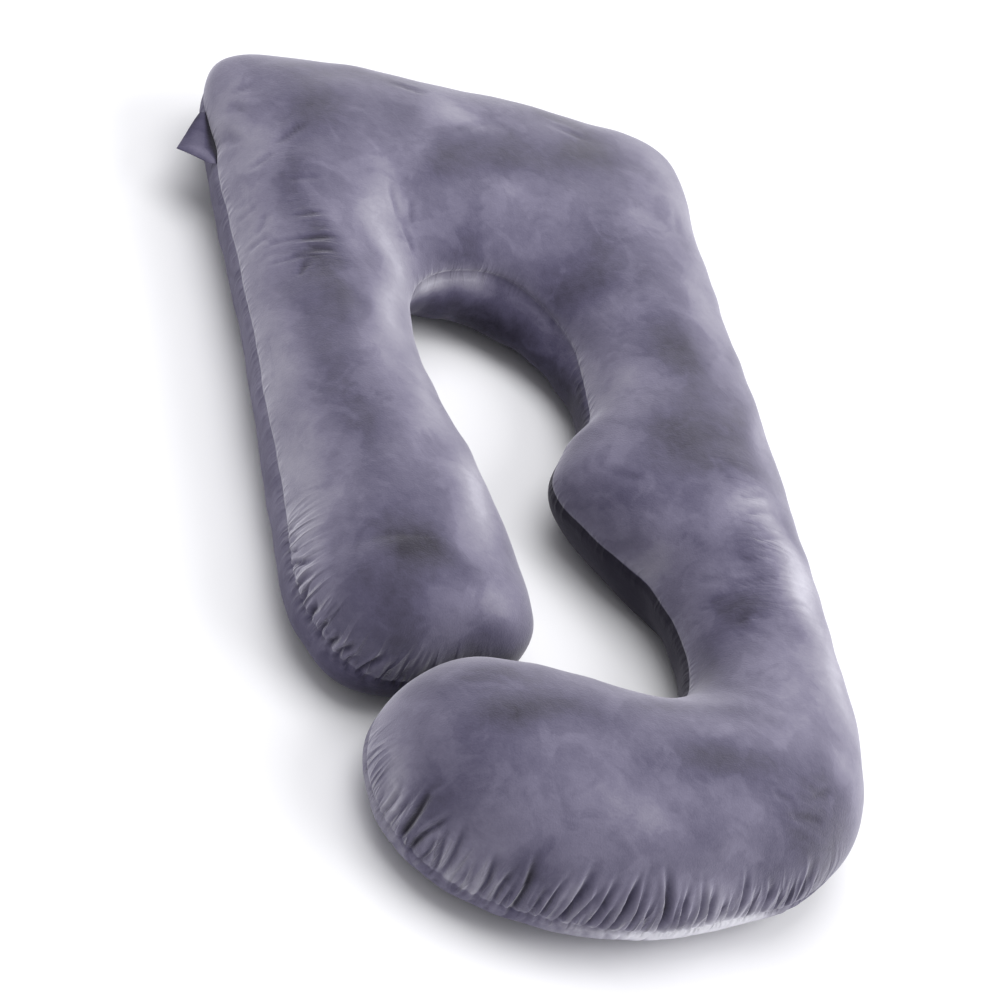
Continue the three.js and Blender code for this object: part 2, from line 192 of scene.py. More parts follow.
# Where the nap lies light (plus) or dark (minus), with painted highlights along the arms' edges and painted
# shade on slopes turned from the light: plan middle, half lengths along and across a direction in degrees,
# and the tone.
NAP_COLUMNS = ("x", "y", "half_length", "half_width", "angle", "tone")
NAP_AND_PAINTED_LIGHT_PATCHES = (
    # Straight arm, from the head end down: its outer edge, its crest and its inner edge.
    (-330, 470, 110, 24, 90, 0.7), (-326, 215, 70, 18, 90, 0.5), (-322, -40, 60, 18, 90, 0.5),
    (-318, 330, 60, 22, 80, 0.5), (-236, 494, 70, 44, 90, -1.0), (-276, 378, 40, 30, 90, -0.6),
    (-296, 274, 26, 26, 90, 0.5), (-270, 262, 70, 26, 95, -1.0), (-292, 130, 70, 24, 95, -0.5),
    (-320, 100, 60, 18, 90, 0.6), (-205, 352, 46, 22, 80, 0.2), (-228, 286, 30, 22, 90, 0.4),
    (-156, 360, 70, 22, 98, 0.8), (-165, 280, 80, 26, 100, 1.2), (-184, 160, 90, 24, 80, 1.5),
    (-250, 170, 70, 24, 88, -0.8), (-168, 24, 80, 20, 78, 1.1), (-130, -110, 90, 28, 74, 1.7),
    (-342, 40, 140, 18, 90, 0.9), (-330, -140, 100, 20, 88, 0.7), (-268, -30, 120, 34, 86, -0.8),
    (-292, -124, 34, 26, 90, 0.8), (-178, -170, 44, 22, 80, 0.7), (-222, -216, 66, 50, 50, -1.6),
    (-156, -268, 44, 22, 20, 0.9), (-140, -306, 60, 20, 8, -1.2), (-264, -252, 30, 22, 120, 0.5),
    (-264, -405, 40, 20, 90, 0.5), (-262, -280, 60, 30, 140, -0.7),
    # Head end, from the straight arm's side to the long arm's.
    (-150, 590, 120, 30, 10, -0.8), (-110, 520, 60, 26, 20, -0.5), (-52, 528, 44, 30, 30, 1.25),
    (-72, 424, 34, 34, 30, -0.8), (10, 470, 80, 44, 20, -1.0), (-50, 322, 50, 30, 30, -0.7),
    (118, 590, 70, 30, -20, -0.9), (20, 412, 30, 20, 0, 0.6), (140, 510, 60, 40, 50, -1.2),
    (100, 296, 80, 34, 40, -0.9), (110, 366, 60, 40, 0, -0.4), (272, 480, 80, 28, 100, 1.0),
    (60, 232, 60, 24, 60, 0.1), (-28, 250, 30, 16, 0, 0.4), (206, 408, 40, 30, 90, 0.5),
    # Long arm down to the hook's corner.
    (84, 145, 44, 26, 60, 0.8), (138, 122, 34, 28, 30, 1.0), (262, 280, 90, 26, 92, 1.0),
    (236, 236, 30, 22, 90, 0.8), (200, 178, 90, 36, 75, -1.1), (178, 306, 36, 24, 40, -0.45),
    (166, 20, 80, 56, 50, -1.1), (244, 48, 70, 26, 80, -0.6), (278, 60, 60, 18, 90, 0.7),
    (100, -50, 40, 30, 20, -0.3), (4, -128, 50, 20, -45, -3.2), (150, -114, 44, 30, 40, -0.4),
    (92, -140, 44, 24, 10, 1.4), (222, -86, 54, 22, 12, 0.9), (196, -130, 40, 24, 10, -0.3),
    (236, -22, 60, 20, 10, -0.5), (236, -250, 30, 22, 90, -0.4), (272, -150, 100, 28, 96, 1.3),
    (262, -180, 60, 28, 100, 1.2), (286, -92, 24, 20, 90, -0.9), (188, -214, 44, 30, 80, -0.9),
    (172, -262, 36, 24, 20, -0.1), (278, -310, 70, 28, 100, 1.5), (226, -356, 60, 40, 20, 0.6),
    (122, -296, 44, 28, 60, -0.8), (150, -332, 44, 24, 10, -0.4),
    # Hook, from its corner to its end.
    (130, -440, 70, 22, 4, 0.2), (76, -484, 90, 30, 4, -1.0), (60, -402, 100, 22, 8, -0.7),
    (200, -404, 40, 24, 30, 0.2), (246, -460, 40, 28, 90, 0.5), (184, -520, 50, 26, 50, -0.8),
    (226, -545, 50, 28, 60, -1.0), (-28, -545, 60, 24, 0, 0.5), (36, -552, 40, 20, 0, -0.4),
    (-160, -440, 80, 34, 10, -1.2), (-172, -376, 100, 22, 8, -0.8), (-272, -485, 40, 24, 60, 1.1),
    (-250, -524, 26, 22, 60, -0.9), (-300, -540, 44, 24, 60, 1.0), (-212, -492, 44, 30, 20, -0.3),
    (-143, -598, 30, 22, 60, -1.1), (-188, -588, 34, 20, 140, 1.2), (150, -580, 50, 20, 10, -0.4),
    (90, -600, 50, 18, 0, 0.5),
)

# The folded triangle of cover cloth in the outer seam below the head end's first corner.
TAB_ENDS = (448.0, 548.0)  # plan Y
TAB_PEAK = 474.0
TAB_REACH = 46.0
TAB_END_REACH = 5.0
TAB_ROOT_THICKNESS = 7.0
TAB_TIP_THICKNESS = 3.4
TAB_CLOTH = 1.4
TAB_LEAST_GAP = 0.3  # between its two layers
TAB_SQUARENESS = 0.5  # its section's power, 1 is an ellipse
TAB_END_SQUARENESS = 8
TAB_DROOP = 9.0
TAB_RIPPLE = 1.2
TAB_RIPPLE_LENGTH = 9.0
TAB_ROOT_GAP = 0.3
# Painted light and shade on the tab: a highlight midway out, a shadow at its root and shade deeper towards
# its upper end.
TAB_PAINTED_HIGHLIGHT = 0.6  # painted highlight: how much lighter it is midway from its root to its fold
TAB_ROOT_PAINTED_SHADOW = -1.8
TAB_ROOT_SHADE = 0.16  # the share of its reach that this dark root, a painted shadow, takes
TAB_PAINTED_SHADE_ALONG = (0.0, -1.0)  # painted shade, from its lower end to its upper one
TAB_LENGTH_STEPS = 72
TAB_ROUND_STEPS = 56

LOWER_PAINTED_SHADE = -0.4  # painted shade over the whole lower panel
LOWER_SEAM_SHARE = 0.6  # how much of that there is at the seam
LOWER_FADE = 60.0  # how far down from the seam all of it is there
# Painted light and shade on the lower panel, in the nap patches' columns: light on the hook's front and
# outer side and on the straight arm's outer side, shade on the straight arm's end, in the hollow and on the
# belly's wall.
LOWER_PAINTED_LIGHT_AND_SHADE = (
    (70, -600, 120, 60, 0, 1.6), (-60, -620, 50, 60, 0, 1.4), (-210, -580, 90, 60, 150, 0.6),
    (-280, -470, 110, 50, 90, 1.3), (-240, -306, 110, 40, 0, -0.5), (-345, -40, 330, 60, 90, 0.45),
    (20, 30, 300, 120, 90, -1.3), (95, -150, 190, 60, -65, -2.2),
)
# Painted highlights and shade on the steep sides, by height too, with light under the seam inside the head
# end and on the hook's front and shadow on the straight arm's end behind the hook. Its columns: middle,
# reach, half height and tone.
WALL_COLUMNS = ("x", "y", "z", "reach", "half_height", "tone")
WALL_PAINTED_LIGHT_AND_SHADE = (
    (-112, 236, 90, 28, 16, 3.2), (-82, 268, 97, 34, 16, 3.2), (-40, 292, 102, 34, 14, 1.8),
    (20, 305, 92, 60, 20, 0.8), (94, 235, 84, 56, 22, 0.8), (44, 322, 126, 60, 20, -0.2),
    (108, 250, 112, 56, 22, -0.2), (80, -600, 50, 104, 17, 3.2), (-76, -262, 62, 48, 36, -3.2),
    (-140, -306, 58, 50, 28, -2.4),
)
# Where fine creases run across the arms.
CREASED_PATCHES = (
    (-268, 272, 60, 30, 90, 0.9), (-290, 410, 50, 24, 60, 0.4), (234, -130, 100, 36, 96, 1.0),
    (185, -215, 50, 40, 90, 0.5), (180, -510, 50, 30, 0, 0.5),
)
# The stretches of seam, from their middles, that fine gathers fill between the drawn folds.
HOOK_GATHER = (-300, 300)
ARM_GATHER = (-120, 170)
GATHER_FADE = 60.0  # past both ends of a stretch
GATHER_REACH = 74.0  # up from the seam
GATHER_BELOW = 14.0  # and down
SEAM_BLEND = 8.0  # over which the upper panel's tone passes into the lower one's
PUCKER = 0.35  # the stitches' small puckers along the rest of the seam, next to the gathers
PUCKER_REACH = 24.0

PHOTO_AZIMUTH = -33.0  # the photograph's view
PHOTO_ELEVATION = 40.0
PHOTO_ROLL = 31.5
PHOTO_DISTANCE = 3.44
PHOTO_TARGET = np.array([-63.0, -58.0, 95.0])  # in the outline's own plan
PHOTO_LENS = 108.0  # on a 36 mm sensor

VELVET_TONES = ("#1b1727", "#4a465d", "#6a667b", "#898695", "#b3b1bd", "#dddce4")  # from dark to light
BASE_TONE = 0.33  # where the velvet is on those, from 0 to 1, before what sways it
# Noises in the velvet, in metres along X, Y and Z, or for the gathers along the seam and up from it.
NOISE_COLUMNS = ("size", "detail", "roughness", "distortion")
NOISES = {
    "clouds": ((0.075, 0.075, 0.075), 4.0, 0.55, 0.4),
    "strokes": ((0.013, 0.013, 0.013), 4.0, 0.6, 0.5),
    "pile": ((0.0022, 0.0022, 0.0022), 2.0, 0.6, 0.0),
    "marks": ((0.055, 0.055, 0.055), 6.0, 0.55, 0.8),  # patches pressed flat by a hand
    "gathers": ((0.024, 0.14, 1.0), 2.0, 0.5, 0.3),
    "creases": ((0.090, 0.018, 0.05), 3.0, 0.5, 0.6),
}
MARK_NAP = 0.16  # how much likelier a mark is where the nap is light
MARK_EDGE = 0.06  # half the width of a mark's soft edge
GATHER_SLOPE = -9.0  # the steeper, the thinner are the gathers' lines, and the creases'
CREASE_SLOPE = -6.0
GATHER_RISE = 0.004  # how high the fine gathers stand, in metres
CREASE_RISE = -0.25  # of that, for the creases, which are troughs
PILE_RISE = 0.0012
STROKE_SHARE = 0.7  # of the pile's rise, for its strokes
# How far each thing sways the tone. Through the folds' depth, the ridges and the creases it paints shade
# into valleys and creases and highlights onto ridges.
TONE_WEIGHTS = {
    "nap_and_painted_light": 0.20, "fold": 0.04, "pressed": 0.032, "ridge": 0.11, "crease": -0.07,
    "clouds": 0.22, "strokes": 0.16, "pile": 0.07,
}
FLOOR_COLOUR = "#ededf0"
FLOOR_HALF_WIDTH = 20000.0
FLOOR_DROP = 0.4  # keeps it clear of the pillow's flat underside


def smooth(t):
    """A rise from 0 to 1 with level ends: three t squared less two t cubed."""
    t = np.clip(t, 0, 1)
    return t * t * (3 - 2 * t)


def bell(t):
    """A bell of height 1 at 0: e to the minus t squared."""
    return np.exp(-t * t)


def table(columns, rows):
    """A table's columns as arrays, by name."""
    return dict(zip(columns, np.array(rows, float).T))


def waves(points, wavelength, count, seed):
    """Soft lumps between about -1 and 1: the mean of sine waves of like length in seeded directions."""
    draw = np.random.default_rng(seed)
    facing = draw.normal(size=(count, 3))
    facing /= np.linalg.norm(facing, axis=1)[:, None]
    lengths = wavelength * draw.uniform(*WAVE_LENGTHS, count)
    phases = draw.uniform(0, 2 * math.pi, count)
    turns = points @ (facing / lengths[:, None]).T * 2 * math.pi + phases
    return np.sin(turns).sum(-1) / math.sqrt(count)


def spline(points, counts, closed):
    """Points on a centripetal Catmull-Rom curve, counts[k] of them from the k-th given point on.

    Each span is a cubic. Its slope at an end is the neighbouring chords' slopes put together, each
    taken over the square root of its length.
    """
    points = np.asarray(points, float)
    if closed:
        ring = np.concatenate([points[-1:], points, points[:2]])
    else:
        ends = 2 * points[[0, -1]] - points[[1, -2]]
        ring = np.concatenate([ends[:1], points, ends[1:]])
    before, start, stop, after = ring[:-3], ring[1:-2], ring[2:-1], ring[3:]
    gap_in = np.linalg.norm(start - before, axis=1)[:, None] ** 0.5
    gap = np.linalg.norm(stop - start, axis=1)[:, None] ** 0.5
    gap_out = np.linalg.norm(after - stop, axis=1)[:, None] ** 0.5
    chord = (stop - start) / gap
    slope_in = ((start - before) / gap_in - (stop - before) / (gap_in + gap) + chord) * gap
    slope_out = (chord - (after - start) / (gap + gap_out) + (after - stop) / gap_out) * gap
    counts = np.asarray(counts)
    span = np.repeat(np.arange(len(counts)), counts)
    first = np.repeat(np.cumsum(counts) - counts, counts)
    t = ((np.arange(len(span)) - first) / np.repeat(counts, counts))[:, None]
    cubic = 2 * start - 2 * stop + slope_in + slope_out
    square = 3 * stop - 3 * start - 2 * slope_in - slope_out
    return cubic[span] * t**3 + square[span] * t**2 + slope_in[span] * t + start[span]


def make_ribs():
    """Where each rib of the cover runs, once round the outline.

    Returns the crest's points and, for each rib, its seam point, its crest point's index, the lower
    panel's swell past the seam, the upper panel's fullness and the upper panel's swell.
    """
    column = table(SECTION_COLUMNS, SECTION_ROWS)
    outer_ribs = column["outer_ribs"][:-1].astype(int)
    inner_ribs = column["inner_ribs"][:-1].astype(int)
    hook, arm = table(END_COLUMNS, HOOK_END), table(END_COLUMNS, ARM_END[::-1])
    hook_ribs = [int(column["outer_ribs"][-1]), *hook["ribs"].astype(int)]
    arm_ribs = [ARM_END_FIRST_RIBS, *arm["ribs"].astype(int)]

    def line(x, y, z):
        return np.stack([column[x], column[y], column[z]], 1)

    def points(end):
        return np.stack([end["x"], end["y"], end["z"]], 1)

    def eased(values, counts):
        share = smooth(np.concatenate([np.arange(n) / n for n in counts]))
        return np.repeat(values[:-1], counts) + np.repeat(np.diff(values), counts) * share

    crest_points = line("crest_x", "crest_y", "crown")
    crest = np.concatenate([spline(crest_points, outer_ribs, False), crest_points[-1:]])
    seam = spline(
        np.concatenate([
            line("outer_x", "outer_y", "outer_z"), points(hook),
            line("inner_x", "inner_y", "inner_z")[::-1], points(arm),
        ]),
        [*outer_ribs, *hook_ribs, *inner_ribs[::-1], *arm_ribs],
        True,
    )

    side = len(crest) - 1
    round_hook = np.arange(sum(hook_ribs)) / sum(hook_ribs)
    round_arm = np.arange(sum(arm_ribs)) / sum(arm_ribs)
    inner_foot = np.concatenate([
        first + np.arange(few) * (many // few)
        for first, many, few in zip(np.cumsum(outer_ribs) - outer_ribs, outer_ribs, inner_ribs)
    ])
    foot = np.concatenate([
        np.arange(side), np.full(len(round_hook), side), [side],
        inner_foot[:0:-1], np.zeros(len(round_arm), int),
    ])
    outer_belly, inner_belly = column["outer_belly"], column["inner_belly"]
    swell = np.concatenate([
        eased(outer_belly, outer_ribs),
        outer_belly[-1] + (inner_belly[-1] - outer_belly[-1]) * smooth(round_hook),
        inner_belly[-1:],
        eased(inner_belly, inner_ribs)[:0:-1],
        inner_belly[0] + (outer_belly[0] - inner_belly[0]) * smooth(round_arm),
    ])
    fuller = np.concatenate([
        np.zeros(side),
        (HOOK_END_FULLNESS - TOP_FULLNESS) * smooth(END_EASE * np.sin(round_hook * math.pi)),
        np.zeros(len(inner_foot)),
        (ARM_END_FULLNESS - TOP_FULLNESS) * smooth(END_EASE * np.sin(round_arm * math.pi)),
    ])
    corner = bell(np.hypot(seam[:, 0] - HEAD_CORNER[0], seam[:, 1] - HEAD_CORNER[1]) / CORNER_REACH)
    return crest, seam, foot, swell, TOP_FULLNESS + fuller + CORNER_FULLER * corner, CORNER_SWELL * corner


def plain_panels(crest, seam, foot, swell, fullness, top_swell):
    """The stuffed cover before its folds, as ribs by rings of points.

    A rib runs straight out from the crest in plan. On the upper panel its distance out is a power of
    the sine of an angle and its height over the seam a power of the cosine. A swell past the seam is
    three times the sine cubed times the cosine. Below the seam the two powers change places, a swell
    is the sine of twice the angle, and what would sink under the surface lies flat on it.
    """
    start = crest[foot]
    flat = seam[:, :2] - start[:, :2]
    reach = np.linalg.norm(flat, axis=1)[:, None]
    out = flat / reach
    rings = 1 - (1 - np.arange(1, TOP_RINGS + 1) / TOP_RINGS) ** RING_CROWDING
    angle = rings * math.pi / 2
    power = 2 / fullness[:, None]
    across = reach * np.sin(angle) ** power + top_swell[:, None] * 3 * np.sin(angle) ** 3 * np.cos(angle)
    above = np.maximum(np.cos(angle), 0) ** power
    height = seam[:, 2:] + (start[:, 2:] - seam[:, 2:]) * above
    angle = np.arange(1, LOWER_RINGS) / LOWER_RINGS * math.pi / 2
    under = reach * np.cos(angle) ** (2 / LOWER_FULLNESS) + swell[:, None] * np.sin(2 * angle)
    depth = seam[:, 2:] * (1 - UNDERSIDE_SINK * np.sin(angle) ** (2 / LOWER_FULLNESS))
    distance = np.concatenate([across, under], 1)
    heights = np.concatenate([height, np.maximum(depth, 0)], 1)
    plan = start[:, None, :2] + out[:, None] * distance[..., None]
    return np.concatenate([plan, heights[..., None]], 2)


def seam_distances(points, seam):
    """How far along the seam each rib stands, and how far up each point is from the seam, minus down."""
    steps = np.linalg.norm(np.diff(points, axis=1), axis=2)
    from_first = np.concatenate([np.zeros((len(points), 1)), np.cumsum(steps, 1)], 1)
    up = from_first[:, TOP_RINGS - 1 : TOP_RINGS] - from_first
    along = np.concatenate([[0], np.cumsum(np.linalg.norm(np.diff(seam, axis=0), axis=1))])
    return along, up


def outward(points):
    """Unit normals of the grid, from the cross product of its steps along the ribs and the rings."""
    along = np.roll(points, -1, 0) - np.roll(points, 1, 0)
    down = np.gradient(points, axis=1)
    normal = np.cross(along, down)
    normal /= np.maximum(np.linalg.norm(normal, axis=2), 1e-9)[..., None]
    return normal


def bells_across(across, bells):
    """The height across a line: bells at their places, in their widths and heights, added up."""
    height = np.zeros_like(across)
    for row in bells:
        part = dict(zip(BELL_COLUMNS, row))
        height += part["height"] * bell((across - part["place"]) / part["width"])
    return height


def gathered(along, up, middle, folds):
    """The relief of folds gathered into the seam.

    Each is a valley, a bell across its line, with a sharp ridge on one side and a low one on the other.
    Its line wavers, it fades to nothing at its tip and narrows at its foot, and a third of it goes on
    below the seam.
    """
    relief = np.zeros_like(up)
    loop = along[-1]
    for row in folds:
        fold = dict(zip(FOLD_COLUMNS, row))
        climb = np.where(up >= 0, up, -FOLD_BELOW_FADE * up) / fold["run"]
        climbed = np.clip(climb, 0, 1)
        waver = FOLD_WAVER * np.sin(FOLD_WAVER_TURN * climbed + fold["along"])
        line = middle + fold["along"] + fold["lean"] * climbed**FOLD_LEAN_POWER + waver
        offset = (along[:, None] - line + loop / 2) % loop - loop / 2
        width = fold["half_width"] * (FOLD_FOOT_WIDTH + (1 - FOLD_FOOT_WIDTH) * climbed)
        foot = FOLD_FOOT_DEPTH + (1 - FOLD_FOOT_DEPTH) * smooth(climb * FOLD_FOOT_FADE)
        depth = fold["depth"] * foot * np.where(up >= 0, 1.0, FOLD_BELOW_DEPTH)
        relief += depth * smooth((1 - climb) * FOLD_TIP_FADE) * bells_across(offset / width, FOLD_BELLS)
    return relief


def wrinkled(points):
    """The relief of the short wrinkles, in plan: a soft trough with a low lip on both sides."""
    relief = np.zeros(points.shape[:2])
    for row in WRINKLES:
        wrinkle = dict(zip(WRINKLE_COLUMNS, row))
        turn = math.radians(wrinkle["angle"])
        x, y = points[..., 0] - wrinkle["x"], points[..., 1] - wrinkle["y"]
        length = x * math.cos(turn) + y * math.sin(turn)
        bend = WRINKLE_BEND * length**2 + WRINKLE_WAVER * np.sin(length / WRINKLE_WAVER_LENGTH)
        across = (y * math.cos(turn) - x * math.sin(turn) - bend) / wrinkle["half_width"]
        fade = smooth(2 - 4 * np.abs(length) / wrinkle["length"])
        relief += wrinkle["depth"] * fade * bells_across(across, WRINKLE_BELLS)
    return relief


def patch_tones(points, patches):
    """Bells of light and dark laid over the plan, their edges drawn about by soft waves."""
    drift = DRIFT * np.stack([waves(points, DRIFT_WIDTH, DRIFT_WAVES, seed) for seed in DRIFT_SEEDS], -1)
    tone = np.zeros(points.shape[:-1])
    for row in patches:
        patch = dict(zip(NAP_COLUMNS, row))
        turn = math.radians(patch["angle"])
        x = points[..., 0] + drift[..., 0] - patch["x"]
        y = points[..., 1] + drift[..., 1] - patch["y"]
        length = (x * math.cos(turn) + y * math.sin(turn)) / patch["half_length"]
        width = (y * math.cos(turn) - x * math.sin(turn)) / patch["half_width"]
        tone += patch["tone"] * np.exp(-(length**2) - width**2)
    return tone


def lower_painted_light_and_shade(points, up):
    """Painted shade on the lower panel, darker away from the seam, with its own patches of painted light
    and shade.
    """
    share = LOWER_SEAM_SHARE + (1 - LOWER_SEAM_SHARE) * smooth(-up / LOWER_FADE)
    return LOWER_PAINTED_SHADE * share + patch_tones(points, LOWER_PAINTED_LIGHT_AND_SHADE)


def wall_painted_light_and_shade(points):
    """Painted highlights and shade by place and height: e to the minus fourth power of the distances'
    shares.
    """
    tone = np.zeros(points.shape[:-1])
    for row in WALL_PAINTED_LIGHT_AND_SHADE:
        patch = dict(zip(WALL_COLUMNS, row))
        x, y, z = (points[..., k] - patch[name] for k, name in enumerate("xyz"))
        away = (x**2 + y**2) / patch["reach"] ** 2
        tone += patch["tone"] * np.exp(-(away**2) - (z / patch["half_height"]) ** 2)
    return tone


def stretch(along, middle, ends):
    """1 on a stretch of the seam, eased to 0 past both of its ends."""
    loop = along[-1]
    place = (along - middle + loop / 2) % loop - loop / 2
    return smooth((place - ends[0]) / GATHER_FADE + 1) * smooth((ends[1] - place) / GATHER_FADE + 1)


def crest_faces(line, edge):
    """Faces between the ribs' end points and the crest's points that the ribs start from.

    A face takes in each crest point between its two ribs. Round the two ends that is a single one.
    """
    stride = np.roll(line, -1) - line
    faces = []
    for count in np.unique(np.abs(stride)):
        here = np.abs(stride) == count
        between = line[here, None] + np.sign(stride[here])[:, None] * np.arange(count + 1)
        ends = np.stack([np.roll(edge, -1)[here], edge[here]], 1)
        faces += np.concatenate([between, ends], 1).tolist()
    return faces


def grid_faces(crest_count, foot, rings):
    """The cover's faces: the ribs' grid, closed to the crest above and to its shadow underneath."""
    point = 2 * crest_count + np.arange(len(foot))[:, None] * rings + np.arange(rings)
    after = np.roll(point, -1, 0)
    faces = np.stack([point[:, :-1], after[:, :-1], after[:, 1:], point[:, 1:]], -1).reshape(-1, 4).tolist()
    faces += crest_faces(foot, point[:, 0])
    faces += [face[::-1] for face in crest_faces(foot + crest_count, point[:, -1])]
    return faces


def map_to_seam(piece, crest_count, along, up):
    """A UV map in metres: how far round the seam a corner is, and how far up the panel from it.

    The corners that close the loop keep counting past its end. A crest point takes its rib's values.
    """
    mesh = piece.data
    corner = np.empty(len(mesh.loops), np.int64)
    mesh.loops.foreach_get("vertex_index", corner)
    first = np.empty(len(mesh.polygons), np.int64)
    mesh.polygons.foreach_get("loop_start", first)
    size = np.diff(np.append(first, len(corner)))
    ribs, rings = up.shape
    on_rib = corner >= 2 * crest_count
    rib = np.where(on_rib, (corner - 2 * crest_count) // rings, -1)
    ring = np.where(on_rib, (corner - 2 * crest_count) % rings, 0)
    last_rib = np.repeat(np.maximum.reduceat(rib, first), size)
    rib = np.where(on_rib, rib, last_rib)
    closing = (last_rib == ribs - 1) & (rib == 0)
    u = along[rib] + closing * (along[-1] + along[1])
    layer = mesh.uv_layers.new(name="seam_map")
    places = np.stack([u, up[rib, ring]], 1) * METRES
    layer.data.foreach_set("uv", places.astype(np.float32).ravel())


def new_piece(name, points, faces, materials, smooth_faces=True):
    """A mesh object at the origin, from points in millimetres in the outline's own plan."""
    mesh = bpy.data.meshes.new(name)
    mesh.from_pydata((points - FOOTPRINT_MIDDLE) * METRES, [], faces)
    mesh.polygons.foreach_set("use_smooth", np.full(len(mesh.polygons), smooth_faces))
    for material in materials:
        mesh.materials.append(material)
    mesh.update()
    piece = bpy.data.objects.new(name, mesh)
    bpy.context.scene.collection.objects.link(piece)
    return piece


def add_attribute(piece, name, values):
    """A number for each point of the mesh, for its material."""
    attribute = piece.data.attributes.new(name, "FLOAT", "POINT")
    attribute.data.foreach_set("value", np.asarray(values, np.float32))


def make_pillow(upper, lower):
    """The stuffed cover: panels, lumps of filling, seam, gathers and wrinkles in one surface."""
    crest, seam, foot, swell, fullness, top_swell = make_ribs()
    points = plain_panels(crest, seam, foot, swell, fullness, top_swell)
    along, up = seam_distances(points, seam)

    def middle(x, y):
        return along[np.argmin(np.hypot(seam[:, 0] - x, seam[:, 1] - y))]

    folds = gathered(along, up, middle(*HOOK_MIDDLE), HOOK_FOLDS)
    folds += gathered(along, up, middle(*ARM_MIDDLE), ARM_FOLDS)
    wrinkles = wrinkled(points) * smooth(up / WRINKLE_START)
    relief = folds + wrinkles - SEAM_DRAW * bell(up / SEAM_HALF_WIDTH)
    for row in LUMPS:
        lump = dict(zip(LUMP_COLUMNS, row))
        relief += lump["height"] * waves(points, lump["width"], lump["waves"], lump["seed"])
    settled = smooth(points[..., 2] / SETTLED_HEIGHT)
    near_crest = smooth(np.arange(1, TOP_RINGS + LOWER_RINGS) / CREST_RINGS)
    moved = points + outward(points) * (relief * settled * near_crest)[..., None]
    moved[..., 2] = np.maximum(moved[..., 2], 0)

    everything = np.concatenate([crest, crest * (1, 1, 0), moved.reshape(-1, 3)])
    faces = grid_faces(len(crest), foot, moved.shape[1])
    pillow = new_piece("velvet_pillow", everything, faces, [upper, lower])
    map_to_seam(pillow, len(crest), along, up)
    on_lower = np.zeros((len(foot), moved.shape[1] - 1), np.int32)
    on_lower[:, TOP_RINGS - 1 :] = 1
    closing = np.repeat((0, 1), (len(faces) - on_lower.size) // 2)
    panel = np.concatenate([on_lower.ravel(), closing]).astype(np.int32)
    pillow.data.polygons.foreach_set("material_index", panel)

    gather = stretch(along, middle(*HOOK_MIDDLE), HOOK_GATHER)
    gather += stretch(along, middle(*ARM_MIDDLE), ARM_GATHER)
    above_and_below = np.where(up > 0, 1 - smooth(up / GATHER_REACH), 1 - smooth(-up / GATHER_BELOW))
    pucker = PUCKER * (1 - smooth(np.abs(up) / PUCKER_REACH))
    gather = np.maximum(gather[:, None] * above_and_below, pucker)
    below = smooth(0.5 - up / SEAM_BLEND)
    # The tone: the nap's patches with painted highlights and shade above the seam, painted shade and light
    # on the lower panel below it, and painted highlights and shade on the steep walls.
    tone = patch_tones(points, NAP_AND_PAINTED_LIGHT_PATCHES) * (1 - below) + lower_painted_light_and_shade(points, up) * below
    tone += wall_painted_light_and_shade(points)
    crest_tone = patch_tones(crest, NAP_AND_PAINTED_LIGHT_PATCHES)
    under = np.zeros(len(crest))
    creased = patch_tones(points, CREASED_PATCHES) * smooth(up / WRINKLE_START)
    creased_crest = patch_tones(crest, CREASED_PATCHES)
    # The folds' depth goes to the velvet too, which paints shade into their valleys and highlights onto
    # their ridges.
    for name, on_crest, underneath, on_ribs in (
        ("nap_and_painted_light", crest_tone, under + LOWER_PAINTED_SHADE, tone),
        ("fold", under, under, folds + wrinkles),
        ("gather", under, under, gather),
        ("creased", creased_crest, under, creased),
    ):
        add_attribute(pillow, name, np.concatenate([on_crest, underneath, on_ribs.ravel()]))
    return pillow, seam, crest, foot


